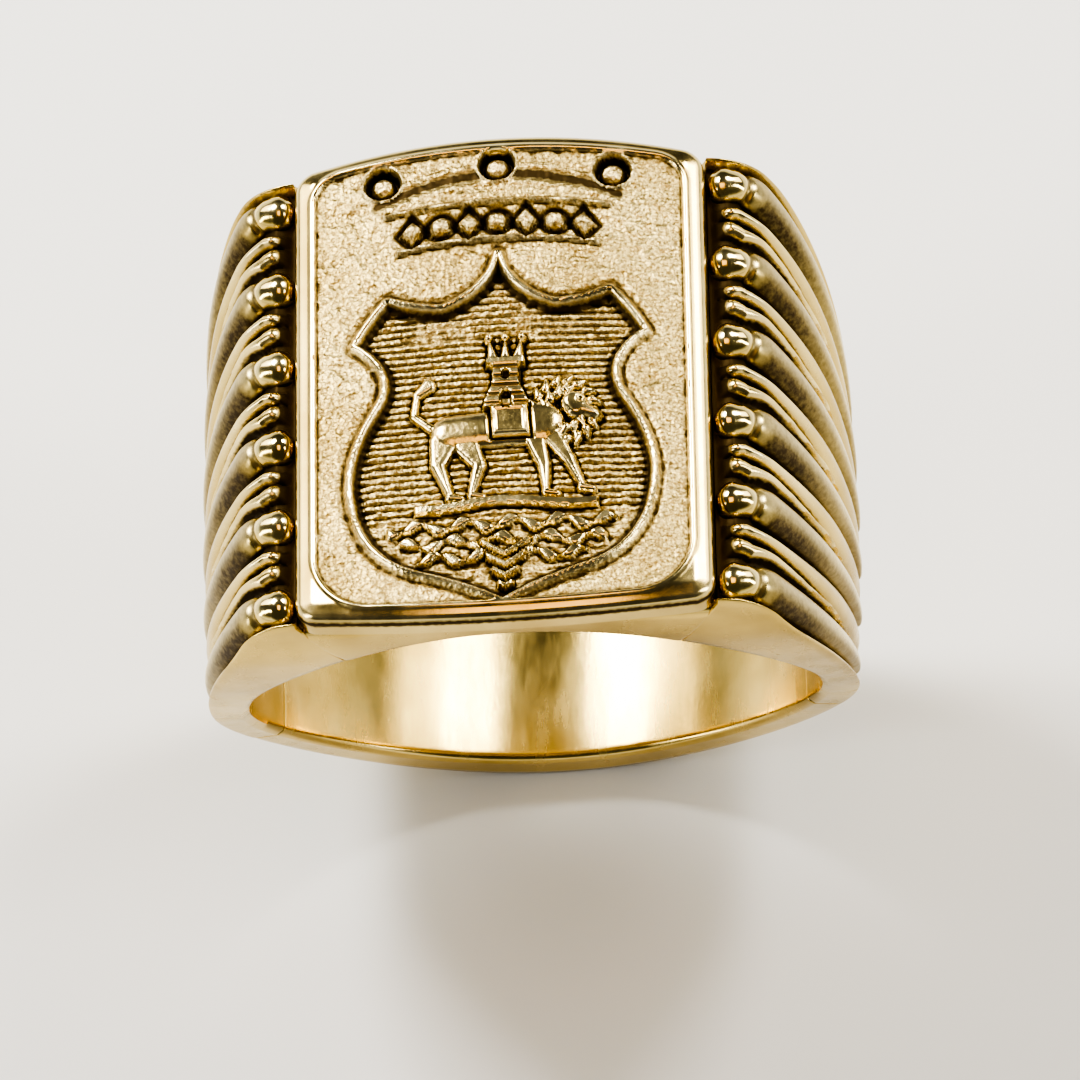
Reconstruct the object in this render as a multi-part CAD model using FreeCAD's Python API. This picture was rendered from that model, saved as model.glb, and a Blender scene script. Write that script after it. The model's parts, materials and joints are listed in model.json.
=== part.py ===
# Signet ring: a domed rectangular plate on a solid head, two reeded shoulders and a
# tapered shank. Ball-headed reeds lie in the shoulders. All sizes are in millimetres.
# The origin is the centre of the finger bore, +Y runs along the finger, +Z points up
# through the middle of the plate and +X points to the right shoulder.

import FreeCAD, Part
import math
import os
from FreeCAD import Vector

# Finger bore and band
BORE_R = 9.9                # inside radius, a large ring size
WALL = 1.45                 # thickness of the band at its sides and bottom
OUTER_R = BORE_R + WALL

# Half widths of the band along the finger
HALF_WIDTH_TOP = 9.15
HALF_WIDTH_BOTTOM = 2.65
FLARE = 1.45                # above 1 keeps the shank narrow and lets it widen at the head
WIDTH_STATIONS = 10         # heights at which the side faces' curve is set

# Front view of a shoulder: a short arc beside the plate runs into a long shallow one, which
# meets the band's outer circle level with the bore's centre
SHORT_R = 2.5
LONG_R = 23.6
ARC_MEET = 24.5             # where the two meet, from the long arc's centre, degrees above level
GUTTER = 0.5                # channel between the plate and the shoulder's crest
SHANK_SEAM = 112.0          # angle from +Z of the joint between shoulder and shank, degrees

# Signet plate
PLATE_HALF_X = 7.05
PLATE_HALF_Y = 8.8          # at the corners
PLATE_BOW = 0.7             # how far the front and back edges bow out beyond the corners
HEAD_BOW = 0.35             # the same for the head under the plate
PLATE_EDGE_Z = 11.6         # height of the top face along the plate's long edges
PLATE_DOME = 0.7            # rise of the top face above those edges
PLATE_T = 1.1
PLATE_CORNER_R = 0.7
PLATE_TOP = PLATE_EDGE_Z + PLATE_DOME
DOME_R = (PLATE_HALF_X ** 2 + PLATE_DOME ** 2) / (2 * PLATE_DOME)
DOME_Z = PLATE_TOP - DOME_R     # height of the dome's axis

# Recesses cut in the plate
BORDER_SIDE = 0.7           # polished border beside the field
BORDER_END = 0.55           # polished border in front of and behind the field
FIELD_BACK_R = 0.9          # corners of the field
FIELD_FRONT_R = 1.8
FIELD_DEPTH = 0.2
SHIELD_DEPTH = 0.42         # below the border's top face
PEARL_R = 0.5               # the crown's three pearls
PEARL_X = 3.95
PEARL_Y = 7.95
PEARL_MID_Y = 8.35
PEARL_DEPTH = 0.45

# Ball-headed reeds
REEDS = 6                   # on each shoulder
REED_PITCH = 3.13           # between the balls
BALL_R = 0.78
BALL_GAP = 0.05             # between a ball and the plate's side
NECK_R = 0.5                # radius inside the ball
REED_R = 0.84               # radius of the swell behind the ball
SWELL = 0.14                # share of a reed's length over which the neck swells
REED_TIP_R = 0.14
REED_PROUD = 0.08           # height of a reed above the shoulder's crest
REED_END = 98.0             # angle from +Z where a reed ends, degrees
REED_STATIONS = 12
CHANNEL_GAP = 0.16          # width of the channel left open beside a reed
REED_SEAT = 0.06            # how far a reed is let into its channel's floor

REACH = 14.0                # half size of the cutting solids, larger than the ring
CLEAR = 1.0                 # how far a cutting solid stands out of the face that it cuts


def front(x, z):
    """A point of the front view, which looks along the finger."""
    return Vector(x, 0, z)


def line(a, b):
    return Part.LineSegment(a, b).toShape()


def arc(a, b, c):
    """The arc from a through b to c."""
    return Part.Arc(a, b, c).toShape()


def prism(edges, offset, direction):
    """The closed outline made of the edges, moved by offset and extruded along direction."""
    face = Part.Face(Part.Wire(edges))
    face.translate(offset)
    return face.extrude(direction)


def along_finger(edges):
    return prism(edges, Vector(0, -REACH, 0), Vector(0, 2 * REACH, 0))


def upright(edges, low, high):
    return prism(edges, Vector(0, 0, low), Vector(0, 0, high - low))


def half_width(z):
    """Half width of the band at height z: narrow below, widening smoothly to the head."""
    share = (z + OUTER_R) / (PLATE_TOP + OUTER_R)
    share = min(max(share, 0.0), 1.0)
    rise = math.sin(math.pi / 2 * share ** FLARE)
    return HALF_WIDTH_BOTTOM + (HALF_WIDTH_TOP - HALF_WIDTH_BOTTOM) * rise


def width_envelope():
    """The space between the band's two side faces, as seen from the side."""
    rise = (PLATE_TOP + OUTER_R) / WIDTH_STATIONS
    heights = [-OUTER_R + rise * i for i in range(WIDTH_STATIONS + 1)]
    sides = []
    for sign in (-1, 1):
        curve = Part.BSplineCurve()
        curve.interpolate([Vector(0, sign * half_width(z), z) for z in heights])
        sides.append(curve.toShape())
    front_low = Vector(0, -half_width(heights[0]), heights[0])
    back_low = Vector(0, half_width(heights[0]), heights[0])
    front_top = Vector(0, -half_width(heights[-1]), heights[-1])
    back_top = Vector(0, half_width(heights[-1]), heights[-1])
    beyond = Vector(0, 0, CLEAR)
    edges = [
        sides[0],
        line(front_top, front_top + beyond),
        line(front_top + beyond, back_top + beyond),
        line(back_top + beyond, back_top),
        sides[1],
        line(back_low, back_low - beyond),
        line(back_low - beyond, front_low - beyond),
        line(front_low - beyond, front_low),
    ]
    wire = Part.Wire(Part.__sortEdges__(edges))
    face = Part.Face(wire)
    face.translate(Vector(-REACH, 0, 0))
    return face.extrude(Vector(2 * REACH, 0, 0))


def plan_envelope():
    """The band's outline from above: bowed at the head and straight at the shoulders."""
    edges = []
    for sy in (-1, 1):
        left, right = [Vector(sx * PLATE_HALF_X, sy * PLATE_HALF_Y, 0) for sx in (-1, 1)]
        far_left, far_right = [Vector(sx * REACH, sy * PLATE_HALF_Y, 0) for sx in (-1, 1)]
        edges.append(arc(left, Vector(0, sy * (PLATE_HALF_Y + HEAD_BOW), 0), right))
        edges.append(line(far_left, left))
        edges.append(line(right, far_right))
    for sx in (-1, 1):
        edges.append(line(*[Vector(sx * REACH, sy * PLATE_HALF_Y, 0) for sy in (-1, 1)]))
    return upright(Part.__sortEdges__(edges), -REACH, REACH)


def bore():
    return Part.makeCylinder(BORE_R, 2 * REACH, Vector(0, -REACH, 0), Vector(0, 1, 0))


def dome_height(x, depth):
    """Height of the plate's top face at x, or of the surface that lies depth below it."""
    return DOME_Z + math.sqrt((DOME_R - depth) ** 2 - x * x)


def dome_arc(half_x, depth):
    side = dome_height(half_x, depth)
    return arc(front(-half_x, side), front(0, dome_height(0, depth)), front(half_x, side))


def dome_slab(half_x, top_depth, bottom_depth):
    """A slab along the finger between two surfaces that follow the plate's dome."""
    edges = [dome_arc(half_x, top_depth), dome_arc(half_x, bottom_depth)]
    for sign in (-1, 1):
        top = front(sign * half_x, dome_height(half_x, top_depth))
        bottom = front(sign * half_x, dome_height(half_x, bottom_depth))
        edges.append(line(top, bottom))
    return along_finger(Part.__sortEdges__(edges))


def rounded_plan(half_x, half_y, bow, front_r, back_r):
    """An upright block with bowed ends and rounded corners."""
    edges = []
    for sy in (-1, 1):
        ends = [Vector(sx * half_x, sy * half_y, 0) for sx in (-1, 1)]
        edges.append(arc(ends[0], Vector(0, sy * (half_y + bow), 0), ends[1]))
    for sx in (-1, 1):
        ends = [Vector(sx * half_x, sy * half_y, 0) for sy in (-1, 1)]
        edges.append(line(*ends))
    block = upright(Part.__sortEdges__(edges), 0, REACH)
    for sy, radius in ((-1, front_r), (1, back_r)):
        corners = [e for e in block.Edges
                   if abs(e.BoundBox.ZLength - REACH) < 0.01 and sy * e.CenterOfMass.y > half_y / 2
                   and abs(e.CenterOfMass.x) > half_x - 0.01]
        block = block.makeFillet(radius, corners)
    return block


def shield_block():
    """An upright block with the shield's outline: peaked top, eared sides, pointed foot."""
    peak = (0, 4.75)
    hollow = (0.55, 3.6)
    dip = (1.9, 2.7)
    ear_top = (3.8, 3.2)
    ear_tip = (4.93, 1.6)
    waist = (3.88, 0.05)
    hip = (4.4, -1.75)
    belly = (5.1, -3.8)
    flank = (4.75, -5.8)
    heel = (3.2, -7.4)
    foot = (0, -8.85)
    edges = []
    for sx in (-1, 1):
        def at(point):
            return Vector(sx * point[0], point[1], 0)
        edges.append(arc(at(peak), at(hollow), at(dip)))
        edges.append(line(at(dip), at(ear_top)))
        edges.append(line(at(ear_top), at(ear_tip)))
        edges.append(arc(at(ear_tip), at(waist), at(hip)))
        edges.append(arc(at(hip), at(belly), at(flank)))
        edges.append(line(at(flank), at(heel)))
        edges.append(line(at(heel), at(foot)))
    return upright(Part.__sortEdges__(edges), 0, REACH)


def signet_plate():
    outline = rounded_plan(PLATE_HALF_X, PLATE_HALF_Y, PLATE_BOW, PLATE_CORNER_R, PLATE_CORNER_R)
    plate = dome_slab(PLATE_HALF_X + CLEAR, 0, PLATE_T).common(outline)
    field = rounded_plan(PLATE_HALF_X - BORDER_SIDE, PLATE_HALF_Y - BORDER_END,
                         PLATE_BOW, FIELD_FRONT_R, FIELD_BACK_R)
    plate = plate.cut(dome_slab(PLATE_HALF_X, -CLEAR, FIELD_DEPTH).common(field))
    plate = plate.cut(dome_slab(PLATE_HALF_X, -CLEAR, SHIELD_DEPTH).common(shield_block()))
    for x, y in ((-PEARL_X, PEARL_Y), (0, PEARL_MID_Y), (PEARL_X, PEARL_Y)):
        floor = dome_height(x, PEARL_DEPTH)
        plate = plate.cut(Part.makeCylinder(PEARL_R, PEARL_DEPTH + CLEAR, Vector(x, y, floor)))
    return plate


def head_block(envelope):
    """The solid block under the plate, between two joints that point at the bore's centre."""
    side = dome_height(PLATE_HALF_X, PLATE_T)
    edges = [
        line(front(0, 0), front(PLATE_HALF_X, side)),
        dome_arc(PLATE_HALF_X, PLATE_T),
        line(front(-PLATE_HALF_X, side), front(0, 0)),
    ]
    return along_finger(Part.__sortEdges__(edges)).common(envelope).cut(bore())


def shoulder_arcs():
    """The centres of a shoulder's long and short arcs in the front view."""
    meet = math.radians(ARC_MEET)
    long_centre = front(OUTER_R - LONG_R, 0)
    short_centre = long_centre + front(math.cos(meet), math.sin(meet)) * (LONG_R - SHORT_R)
    return long_centre, short_centre


def on_long_arc(point):
    centre = shoulder_arcs()[0]
    return math.degrees(math.atan2(point.z - centre.z, point.x - centre.x)) <= ARC_MEET


def ray_to_arc(ray, centre, radius):
    """Where a ray from the bore's centre leaves the circle."""
    along = ray.dot(centre)
    return ray * (along + math.sqrt(max(along ** 2 - centre.dot(centre) + radius ** 2, 0)))


def crest_point(angle):
    """The right shoulder's crest in the front view, where the ray at angle from +Z meets it."""
    a = math.radians(angle)
    ray = front(math.sin(a), math.cos(a))
    if ray.z <= 0:
        return ray * OUTER_R
    long_centre, short_centre = shoulder_arcs()
    crest = ray_to_arc(ray, long_centre, LONG_R)
    if on_long_arc(crest):
        return crest
    return ray_to_arc(ray, short_centre, SHORT_R)


def crest_angle(point):
    return math.degrees(math.atan2(point.x, point.z))


def crest_above(x):
    """The crest's point beside the plate that lies at x."""
    centre = shoulder_arcs()[1]
    return front(x, centre.z + math.sqrt(SHORT_R ** 2 - (x - centre.x) ** 2))


def right_shoulder(envelope):
    seam = front(PLATE_HALF_X, dome_height(PLATE_HALF_X, PLATE_T))
    start = crest_above(PLATE_HALF_X + GUTTER)
    step = front(start.x, seam.z)
    meet_at = math.radians(ARC_MEET)
    meet = shoulder_arcs()[0] + front(math.cos(meet_at), math.sin(meet_at)) * LONG_R
    short_mid = crest_point((crest_angle(start) + crest_angle(meet)) / 2)
    long_mid = crest_point((crest_angle(meet) + 90) / 2)
    side = front(OUTER_R, 0)
    low = crest_point(SHANK_SEAM)
    low_mid = crest_point((90 + SHANK_SEAM) / 2)
    edges = [
        line(front(0, 0), seam),
        line(seam, step),
        line(step, start),
        arc(start, short_mid, meet),
        arc(meet, long_mid, side),
        arc(side, low_mid, low),
        line(low, front(0, 0)),
    ]
    return along_finger(edges).common(envelope).cut(bore())


def shank(envelope):
    right = crest_point(SHANK_SEAM)
    left = front(-right.x, right.z)
    edges = [
        line(front(0, 0), right),
        arc(right, front(0, -OUTER_R), left),
        line(left, front(0, 0)),
    ]
    return along_finger(edges).common(envelope).cut(bore())


def crest_normal(crest):
    """The outward direction at a point of the shoulder's crest."""
    long_centre, short_centre = shoulder_arcs()
    if crest.z <= 0:
        normal = crest * 1
    elif on_long_arc(crest):
        normal = crest - long_centre
    else:
        normal = crest - short_centre
    normal.normalize()
    return normal


def reed_radius(share):
    swelling = math.sin(math.pi / 2 * min(share / SWELL, 1.0))
    return NECK_R + (REED_R - NECK_R) * swelling + (REED_TIP_R - REED_R) * share ** 1.4


def reed_axis_point(share, y_head, lift):
    """A point on a reed's axis, from its ball (share 0) round the shoulder to its tip (1)."""
    above_ball = crest_above(PLATE_HALF_X + BALL_GAP + BALL_R)
    first = crest_angle(above_ball)
    crest = crest_point(first + (REED_END - first) * share)
    depth = max(reed_radius(share), BALL_R * (1 - share / SWELL))
    axis = crest + crest_normal(crest) * (REED_PROUD + lift - depth)
    y = y_head * half_width(crest.z) / half_width(above_ball.z)
    return Vector(axis.x, y, axis.z)


def right_reed(y_head, lift=0.0, growth=0.0):
    """A ball beside the plate and a tail that tapers round the shoulder.

    With lift and growth it is the wider channel that the reed lies in.
    """
    rings = []
    for i in range(REED_STATIONS):
        share = i / (REED_STATIONS - 1)
        here = reed_axis_point(share, y_head, lift)
        ahead = reed_axis_point(min(share + 0.01, 1.0), y_head, lift)
        behind = reed_axis_point(max(share - 0.01, 0.0), y_head, lift)
        circle = Part.Circle(here, ahead - behind, reed_radius(share) + growth)
        rings.append(Part.Wire(circle.toShape()))
    tail = Part.makeLoft(rings, True)
    centre = reed_axis_point(0, y_head, lift)
    onward = reed_axis_point(0.01, y_head, lift) - centre
    ball = Part.makeSphere(BALL_R + growth, centre, onward)
    return ball.fuse(tail).removeSplitter()


def mirrored(shape):
    return shape.mirror(Vector(0, 0, 0), Vector(1, 0, 0))


def write(name, shape):
    shape.exportStep(os.path.join("parts", name + ".step"))
    print("%-16s valid %s solids %d volume %.2f" %
          (name, shape.isValid(), len(shape.Solids), shape.Volume))


def main():
    os.makedirs("parts", exist_ok=True)
    envelope = width_envelope().common(plan_envelope())
    write("signet_plate", signet_plate())
    write("head_block", head_block(envelope))
    write("shank", shank(envelope))
    shoulder = right_shoulder(envelope)
    for i in range(REEDS):
        y_head = (i - (REEDS - 1) / 2) * REED_PITCH
        reed = right_reed(y_head)
        channel = right_reed(y_head, lift=CHANNEL_GAP - REED_SEAT, growth=CHANNEL_GAP)
        shoulder = shoulder.cut(channel).cut(reed)
        write("right_reed_%d" % (i + 1), reed)
        write("left_reed_%d" % (i + 1), mirrored(reed))
    write("right_shoulder", shoulder)
    write("left_shoulder", mirrored(shoulder))


main()
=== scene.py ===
"""The looks of a gold signet ring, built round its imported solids.

Shapes are worked out in millimetres and scaled to metres when a mesh is made. The frame is
the ring's own: +Y along the finger, +Z up through the plate and +X to the right shoulder.
"""

import json
import math
import bpy
import numpy as np
from mathutils import Matrix, Vector


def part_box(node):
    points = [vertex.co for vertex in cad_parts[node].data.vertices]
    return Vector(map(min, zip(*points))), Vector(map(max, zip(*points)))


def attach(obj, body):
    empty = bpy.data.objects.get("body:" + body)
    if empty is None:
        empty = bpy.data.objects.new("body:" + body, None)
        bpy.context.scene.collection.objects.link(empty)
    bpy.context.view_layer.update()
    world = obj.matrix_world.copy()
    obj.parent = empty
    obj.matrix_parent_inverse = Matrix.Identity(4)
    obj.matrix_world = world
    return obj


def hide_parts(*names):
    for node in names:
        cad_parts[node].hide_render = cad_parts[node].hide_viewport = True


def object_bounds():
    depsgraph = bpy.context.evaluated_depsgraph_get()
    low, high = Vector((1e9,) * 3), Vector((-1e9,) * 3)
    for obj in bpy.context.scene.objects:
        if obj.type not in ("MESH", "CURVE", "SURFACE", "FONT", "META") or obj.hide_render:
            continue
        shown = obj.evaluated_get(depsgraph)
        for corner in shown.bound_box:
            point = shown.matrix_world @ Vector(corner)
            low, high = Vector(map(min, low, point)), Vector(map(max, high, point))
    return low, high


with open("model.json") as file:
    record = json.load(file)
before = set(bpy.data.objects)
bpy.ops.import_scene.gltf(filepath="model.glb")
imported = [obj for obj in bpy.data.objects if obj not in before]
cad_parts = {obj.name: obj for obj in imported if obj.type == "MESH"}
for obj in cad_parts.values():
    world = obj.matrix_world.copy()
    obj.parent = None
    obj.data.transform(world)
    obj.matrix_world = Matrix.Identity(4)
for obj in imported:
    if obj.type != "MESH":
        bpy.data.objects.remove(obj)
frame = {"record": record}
CAD_BOX = [list(corner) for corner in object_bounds()]

MM = 0.001


def box_mm(node):
    """The lowest and highest corners of a node, in millimetres."""
    low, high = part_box(node)
    return np.array(low) / MM, np.array(high) / MM


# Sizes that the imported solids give
BORE_R = frame["record"]["mounts"][0]["dims"]["r_mm"]
OUTER_R = -box_mm("shank")[0][2]
PLATE_HALF_X, PLATE_END, PLATE_TOP = box_mm("signet_plate")[1]

# The rest of the sizes down to the reeds repeat those of the solids.
# Half widths of the band along the finger
HALF_WIDTH_TOP = 9.15
HALF_WIDTH_BOTTOM = 2.65
FLARE = 1.45                # above 1 keeps the shank narrow and lets it widen at the head
HEAD_BOW = 0.35             # bow of the side faces under the plate

# Front view of a shoulder
SHORT_R = 2.5               # arc of the shoulder beside the plate
LONG_R = 23.6               # arc of its long shallow fall
ARC_MEET = math.radians(24.5)
# Centres of the two arcs, of which the long one's is level with the bore's
LONG_X = OUTER_R - LONG_R
SHORT_X = LONG_X + (LONG_R - SHORT_R) * math.cos(ARC_MEET)
SHORT_Z = (LONG_R - SHORT_R) * math.sin(ARC_MEET)
SHANK_SEAM = math.radians(112)

# Signet plate
PLATE_BOW = 0.7             # bow of the plate's front and back edges
PLATE_HALF_Y = PLATE_END - PLATE_BOW
PLATE_DOME = 0.7            # rise of the plate's top above its long edges
PLATE_T = 1.1
DOME_R = (PLATE_HALF_X ** 2 + PLATE_DOME ** 2) / (2 * PLATE_DOME)
DOME_Z = PLATE_TOP - DOME_R     # height of the dome's axis
PLATE_CORNER_R = 0.7
BORDER_SIDE = 0.7           # polished border beside the field
BORDER_END = 0.55           # polished border in front of and behind the field
FIELD_BACK_R = 0.9          # corners of the field
FIELD_FRONT_R = 1.8
FIELD_DEPTH = 0.2
PEARL_X = 3.95              # the crown's three pearls
PEARL_Y = 7.95
PEARL_MID_Y = 8.35

# Ball-headed reeds
REEDS = 6
REED_PITCH = 3.13
BALL_R = 0.78
BALL_GAP = 0.05             # between a ball and the plate's side
NECK_R = 0.5                # radius inside the ball
REED_R = 0.84               # radius of the swell behind the ball
SWELL = 0.14                # share of a reed's length over which its neck swells
REED_TIP_R = 0.14
REED_PROUD = 0.08           # height of a reed above the shoulder's crest
REED_END = math.radians(98)     # angle from +Z where a reed ends

# Wear of the reeds
WORN_BALL_R = BALL_R - 0.02
PINCH = 0.16                # share by which a neck is thinner
PINCH_AT = 0.68             # how far behind the ball's centre that is
TIP_ROUND = 0.25            # length over which a tip is rounded

# Worn edges of the band
EDGE_R = 0.38               # between the outer surface and the side faces
BORE_EDGE_R = 0.28          # between the bore and the side faces
SEAM_R = 0.07               # at the soldered seams
SHANK_CROWN = 0.28          # how much lower the shank's outer surface is at its edges
SIDE_BLEND = 0.12           # how softly the flare of the side faces meets the head
CREST_START = 0.04          # between the plate's side and the start of a shoulder's crest

# Gutter, channels and ribs of a shoulder
GUTTER_DEPTH = 0.7
GUTTER_WIDTH = (0.15, 0.95)     # where its floor ends and where the ribs have their full height
CHANNEL_DEPTH = 0.66
CHANNEL_WALL = (-0.15, 0.11)    # from the channel's floor to the rib's side
CHANNEL_BALL = 1.2          # length over which a channel opens round the ball
CHANNEL_BEHIND = 0.17       # space behind a reed, towards the back of the ring
CHANNEL_BEFORE = 0.18       # space in front of it, which is twice that near the ball
RIB_FALL = 0.46             # how much lower a rib is at its sides than along its top
RIB_STEP = 0.06             # how much lower the front rib of a pair is
RIB_LOWEST = 0.5
MARGIN_DEPTH = 0.14         # of the plain strips in front of the reeds and behind them
CUT_DEPTH = 0.34            # of the cut between the two ribs of a pair
CUT_WIDTH = 0.15
CUT_START = (0.9, 1.6)      # lengths along the crest between which the cut sinks in
CUT_END = (4.5, 7.5)        # and runs out

# Reliefs of the plate
SHIELD_DEPTH = 0.46         # a little deeper than in the solids
HATCH_PITCH = 0.27
HATCH_DEPTH = 0.10
TOWER_X = 0.2
EARTH_X = 0.15
EARTH_Y = -5.0
RIM_Y = 7.98                # middle of the coronet's arched rim
JEWEL_PITCH = 0.98


# ---------------------------------------------------------------- small maths

def smooth(low, high, x):
    """0 below low, 1 above high and a smooth step between, which falls where high < low."""
    t = np.clip((np.asarray(x, float) - low) / (high - low), 0, 1)
    return t * t * (3 - 2 * t)


def fillet(distance, radius):
    """How far a rounded edge lies below its sharp corner, at a distance from that corner."""
    inside = np.clip(radius - distance, 0, radius)
    return radius - np.sqrt(radius ** 2 - inside ** 2)


def bump(x, width):
    """A bell of height 1 about 0."""
    return np.exp(-(x / width) ** 2)


def soft_min(a, b, k):
    """The smaller of two values, rounded where they are within k of each other."""
    h = np.clip(0.5 + 0.5 * (b - a) / k, 0, 1)
    return b + (a - b) * h - k * h * (1 - h)


def value_noise(x, y, cell, seed):
    """Smooth noise from -1 to 1 with features about one cell wide."""
    size = 256
    table = np.random.default_rng(seed).uniform(-1, 1, (size, size))
    u, v = x / cell, y / cell
    i, j = np.floor(u).astype(int), np.floor(v).astype(int)
    fu, fv = smooth(0, 1, u - i), smooth(0, 1, v - j)
    i0, j0, i1, j1 = i % size, j % size, (i + 1) % size, (j + 1) % size
    low = table[i0, j0] * (1 - fu) + table[i1, j0] * fu
    high = table[i0, j1] * (1 - fu) + table[i1, j1] * fu
    return low * (1 - fv) + high * fv


def dense_axis(low, high, fine_low, fine_high, fine, coarse):
    """Coordinates from low to high, spaced fine between two limits and coarse outside them."""
    def run(a, b, step):
        return np.linspace(a, b, max(2, int(round((b - a) / step)) + 1))[:-1]
    parts = [run(low, fine_low, coarse), run(fine_low, fine_high, fine),
             run(fine_high, high, coarse), [high]]
    return np.concatenate(parts)


def eased_axis(count, ease):
    """Numbers from -1 to 1, closer together near both ends."""
    t = np.linspace(-1, 1, count)
    return (1 - ease) * t + ease * np.sin(t * math.pi / 2)


# ---------------------------------------------------------------- mesh building

SHARP = math.radians(50)    # edges that turn by more than this are shaded sharp


def make_mesh(name, points, faces, material, **fields):
    """A smooth-shaded piece from points in millimetres, with a named number at each point."""
    mesh = bpy.data.meshes.new(name)
    mesh.from_pydata((np.asarray(points) * MM).tolist(), [], faces)
    for field, values in fields.items():
        layer = mesh.attributes.new(field, "FLOAT", "POINT")
        layer.data.foreach_set("value", np.ascontiguousarray(values, np.float32).ravel())
    mesh.validate()
    mesh.shade_smooth()
    mesh.set_sharp_from_angle(angle=SHARP)
    piece = bpy.data.objects.new(name, mesh)
    bpy.context.scene.collection.objects.link(piece)
    mesh.materials.append(material)
    return piece


def grid_faces(rows, columns, closed):
    """Quads of a grid of points, row by row. closed joins its last column to its first."""
    i = np.arange(rows - 1)[:, None] * columns
    j = np.arange(columns if closed else columns - 1)[None, :]
    k = (j + 1) % columns
    quads = np.stack([i + j, i + k, i + columns + k, i + columns + j], -1)
    return quads.reshape(-1, 4).tolist()


def blurred(field, times):
    """A grid of numbers, averaged with its neighbours a number of times."""
    out = field.copy()
    for _ in range(times):
        padded = np.pad(out, 1, mode="edge")
        out = (padded[1:-1, 1:-1] * 2 + padded[:-2, 1:-1] + padded[2:, 1:-1]
               + padded[1:-1, :-2] + padded[1:-1, 2:]) / 6
    return out


def cavity_of(height, times, depth):
    """0 on flats and ridges, rising to 1 in grooves about depth deep."""
    return np.clip((blurred(height, times) - height) / depth, 0, 1)


def ridge_of(height, times, depth):
    """0 on flats and grooves, rising to 1 on ridges about depth high."""
    return np.clip((height - blurred(height, times)) / depth, 0, 1)


# ---------------------------------------------------------------- the band's shape

def half_width(z):
    """Half width of the band at height z, as in the solids."""
    share = np.clip((z + OUTER_R) / (PLATE_TOP + OUTER_R), 0, 1)
    rise = np.sin(math.pi / 2 * share ** FLARE)
    return HALF_WIDTH_BOTTOM + (HALF_WIDTH_TOP - HALF_WIDTH_BOTTOM) * rise


def plan_width(x):
    """Half width of the band seen from above."""
    return PLATE_HALF_Y + HEAD_BOW * (1 - np.clip(np.abs(x) / PLATE_HALF_X, 0, 1) ** 2)


def side_y(x, z):
    """Distance of the side faces from the ring's middle plane."""
    return soft_min(half_width(z), plan_width(x), SIDE_BLEND)


def dome_height(x, depth):
    """Height of the plate's top at x, or of the face that lies depth under it."""
    return DOME_Z + np.sqrt((DOME_R - depth) ** 2 - x * x)


HEAD_SEAM = math.atan2(PLATE_HALF_X, dome_height(PLATE_HALF_X, PLATE_T))
SHOULDER_START = math.acos((PLATE_HALF_X + CREST_START - SHORT_X) / SHORT_R)
SHORT_LENGTH = SHORT_R * (SHOULDER_START - ARC_MEET)
SIDE_LENGTH = SHORT_LENGTH + LONG_R * ARC_MEET
SHOULDER_LENGTH = SIDE_LENGTH + OUTER_R * (SHANK_SEAM - math.pi / 2)


def crest(s):
    """The right shoulder's crest at length s from the plate: (x, z) and the outward (x, z)."""
    s = np.asarray(s, float)
    on_short, on_long = s < SHORT_LENGTH, s < SIDE_LENGTH
    angle = np.where(on_short, SHOULDER_START - s / SHORT_R,
                     np.where(on_long, ARC_MEET - (s - SHORT_LENGTH) / LONG_R,
                              -(s - SIDE_LENGTH) / OUTER_R))
    radius = np.where(on_short, SHORT_R, np.where(on_long, LONG_R, OUTER_R))
    x = np.where(on_short, SHORT_X, np.where(on_long, LONG_X, 0)) + radius * np.cos(angle)
    z = np.where(on_short, SHORT_Z, 0) + radius * np.sin(angle)
    return x, z, np.cos(angle), np.sin(angle)


def crest_length(angle):
    """Length along the crest to the ray at that angle from +Z, which is 90 degrees or more."""
    return SIDE_LENGTH + OUTER_R * (angle - math.pi / 2)


def crowning(s):
    """How much the outer surface falls towards its edges at length s."""
    return SHANK_CROWN * smooth(SHORT_LENGTH, SHOULDER_LENGTH, s)


BALL_X = PLATE_HALF_X + BALL_GAP + BALL_R
BALL_S = SHORT_R * (SHOULDER_START - math.acos((BALL_X - SHORT_X) / SHORT_R))
BALL_Z = SHORT_Z + math.sqrt(SHORT_R ** 2 - (BALL_X - SHORT_X) ** 2)
REED_LENGTH = crest_length(REED_END) - BALL_S
REED_ROWS = (np.arange(REEDS) - (REEDS - 1) / 2) * REED_PITCH


def spread(z):
    """How close the reeds have come at height z, against their spacing at the plate."""
    return half_width(z) / half_width(BALL_Z)


def tail_radius(u):
    """Radius of a reed's tail at length u from its ball's centre."""
    share = np.clip(u / REED_LENGTH, 0, 1)
    swelling = np.sin(math.pi / 2 * np.clip(share / SWELL, 0, 1))
    return NECK_R + (REED_R - NECK_R) * swelling + (REED_TIP_R - REED_R) * share ** 1.4


def half_round(t, drop):
    """A rounded ridge across t from 0 to 1 that falls by drop at both sides."""
    return -drop * (1 - np.sqrt(np.clip(1 - (2 * t - 1) ** 2, 0, 1)))


def channel_reach(u):
    """How far a channel reaches behind and in front of its reed's middle, at length u."""
    body = tail_radius(u)
    round_ball = np.sqrt(np.clip(1 - (u / CHANNEL_BALL) ** 2, 0, 1))
    behind = np.maximum(body + CHANNEL_BEHIND, (BALL_R + 0.16) * round_ball)
    before = body + CHANNEL_BEFORE + CHANNEL_BEFORE * (1 - smooth(1.0, 8.0, u))
    before = np.maximum(before, (BALL_R + 0.22) * round_ball)
    return behind, before


def rib_pair(across, split):
    """Two rounded ribs over a width from 0 to 1, side by side at split."""
    front = half_round(np.clip(across / split, 0, 1), RIB_FALL) - RIB_STEP
    back = half_round(np.clip((across - split) / (1 - split), 0, 1), RIB_FALL)
    return np.where(across < split, front, back)


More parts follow.
